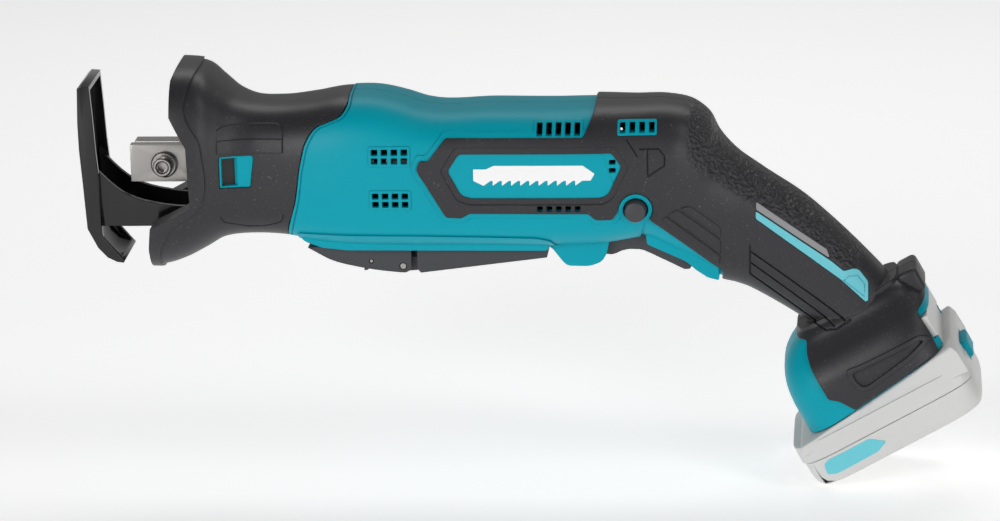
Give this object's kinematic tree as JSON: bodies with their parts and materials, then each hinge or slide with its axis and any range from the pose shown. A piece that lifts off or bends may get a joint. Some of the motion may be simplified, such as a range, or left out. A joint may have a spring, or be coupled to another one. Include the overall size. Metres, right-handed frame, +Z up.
{
  "type": "cordless reciprocating saw",
  "caption": "Compact cordless reciprocating saw: long body with a reciprocating blade clamp and adjustable shoe at the nose, a drooping pistol grip behind and a slide-on battery pack.",
  "frame": {"origin": "middle of the blade clamp's flat front face, on the slider's axis, with the blade clamp at mid stroke", "axes": "+X along the stroke, from the blade end back towards the handle; +Z up through the top of the housing; the tool's left side is at -Y"},
  "size_m": [0.3577, 0.0646, 0.1684],
  "materials": {
    "teal_plastic": "moulded teal plastic, fine texture",
    "black_rubber": "soft moulded rubber, matte",
    "black_plastic": "moulded black plastic",
    "black_steel": "gloss black coated steel",
    "bare_steel": "satin machined steel",
    "cast_aluminium": "as cast",
    "copper": "copper windings and contacts",
    "pale_plastic": "pale grey moulded plastic",
    "clear_lens": "clear moulded plastic",
    "red_wire": "insulated lead",
    "cell_wrap": "shrink sleeve over a metal can"
  },
  "bodies": {
    "saw_body": {"left_housing": "teal_plastic", "right_housing": "teal_plastic", "left_grip": "black_rubber", "right_grip": "black_rubber", "nose_boot": "black_rubber", "gear_housing": "cast_aluminium", "gear_housing_cover": "cast_aluminium", "front_slider_bush": "cast_aluminium", "rear_slider_bush": "cast_aluminium", "crank_bearing": "bare_steel", "motor_can": "bare_steel", "motor_end_bell": "black_plastic", "left_magnet": "black_plastic", "right_magnet": "black_plastic", "front_motor_bearing": "bare_steel", "rear_motor_bearing": "bare_steel", "lamp_lens": "clear_lens", "shoe_lever_base": "black_plastic", "shoe_lever_pin": "bare_steel", "lock_tab_pin": "bare_steel", "trigger_pin": "bare_steel", "switch_unit": "black_plastic", "terminal_block": "black_plastic", "left_terminal": "copper", "right_terminal": "copper", "battery_lead_black": "black_plastic", "battery_lead_red": "red_wire", "motor_lead_black": "black_plastic", "motor_lead_red": "red_wire", "housing_screw_1": "bare_steel", "housing_screw_2": "bare_steel", "housing_screw_3": "bare_steel", "housing_screw_4": "bare_steel", "housing_screw_5": "bare_steel", "housing_screw_6": "bare_steel"},
    "crank": {"crank_gear": "bare_steel", "crank_pin": "bare_steel"},
    "blade_carriage": {"slider": "bare_steel", "blade_clamp": "bare_steel", "clamp_washer": "bare_steel"},
    "clamp_bolt_body": {"clamp_bolt": "bare_steel"},
    "rotor": {"motor_shaft": "bare_steel", "pinion": "bare_steel", "armature": "copper", "commutator": "copper", "cooling_fan": "black_plastic"},
    "shoe": {"shoe_plate": "black_steel", "shoe_bracket": "black_steel"},
    "shoe_lock_lever": {"shoe_lever": "black_plastic"},
    "shoe_clamp": {"shoe_clamp_pad": "bare_steel"},
    "lock_tab": {"lever_lock_tab": "black_plastic"},
    "trigger_body": {"trigger": "black_plastic"},
    "lock_off": {"lock_off_button": "black_plastic"},
    "battery": {"battery_upper_case": "pale_plastic", "battery_lower_case": "pale_plastic", "battery_cell_1": "cell_wrap", "battery_cell_2": "cell_wrap", "battery_cell_3": "cell_wrap"},
    "battery_release": {"release_button": "teal_plastic"}
  },
  "joints": [
    {"name": "crank_turn", "type": "hinge", "parent": "saw_body", "child": "crank", "pos_m": [0.077, 0, -0.012], "axis": [0, 0, 1], "range_deg": [-90, 90]},
    {"name": "blade_stroke", "type": "slide", "parent": "saw_body", "child": "blade_carriage", "axis": [1, 0, 0], "range_m": [-0.00651, 0.00651]},
    {"name": "rotor_spin", "type": "hinge", "parent": "saw_body", "child": "rotor", "pos_m": [0.1, 0, -0.00456], "axis": [1, 0, 0], "range_deg": [-383, 383]},
    {"name": "clamp_bolt_turn", "type": "hinge", "parent": "blade_carriage", "child": "clamp_bolt_body", "pos_m": [0.0126, -0.01, -0.0003], "axis": [0, -1, 0], "range_deg": [0, 360]},
    {"name": "shoe_reach", "type": "slide", "parent": "saw_body", "child": "shoe", "axis": [1, 0, 0], "range_m": [-0.018, 0.005]},
    {"name": "shoe_lever_swing", "type": "hinge", "parent": "saw_body", "child": "shoe_lock_lever", "pos_m": [0.1075, 0, -0.0415], "axis": [0, 1, 0], "range_deg": [0, 60]},
    {"name": "shoe_clamp_slide", "type": "slide", "parent": "saw_body", "child": "shoe_clamp", "axis": [0, 0, -1], "range_m": [0, 0.0025]},
    {"name": "lock_tab_swing", "type": "hinge", "parent": "saw_body", "child": "lock_tab", "pos_m": [0.0948, 0, -0.0394], "axis": [0, 1, 0], "range_deg": [0, 20], "stiffness_Nm_per_rad": 0.02, "springref_deg": -8.59},
    {"name": "trigger_pull", "type": "hinge", "parent": "saw_body", "child": "trigger_body", "pos_m": [0.1895, 0, -0.029], "axis": [0, -1, 0], "range_deg": [0, 10], "stiffness_Nm_per_rad": 0.6, "springref_deg": -5.73},
    {"name": "lock_off_press", "type": "slide", "parent": "saw_body", "child": "lock_off", "axis": [0, 1, 0], "range_m": [0, 0.004], "stiffness_N_per_m": 500, "springref_m": -0.001},
    {"name": "battery_pull", "type": "slide", "parent": "saw_body", "child": "battery", "axis": [0.8746, 0, 0.4848], "range_m": [0, 0.06]},
    {"name": "release_press", "type": "slide", "parent": "battery", "child": "battery_release", "axis": [-0.8746, 0, -0.4848], "range_m": [0, 0.0022], "stiffness_N_per_m": 600, "springref_m": -0.001}
  ],
  "couplings": [
    {"joint": "blade_stroke", "follows": "crank_turn", "m_per_rad": 0.004138},
    {"joint": "rotor_spin", "follows": "crank_turn", "ratio": 4.25},
    {"joint": "shoe_clamp_slide", "follows": "shoe_lever_swing", "m_per_rad": 0.0023873}
  ]
}
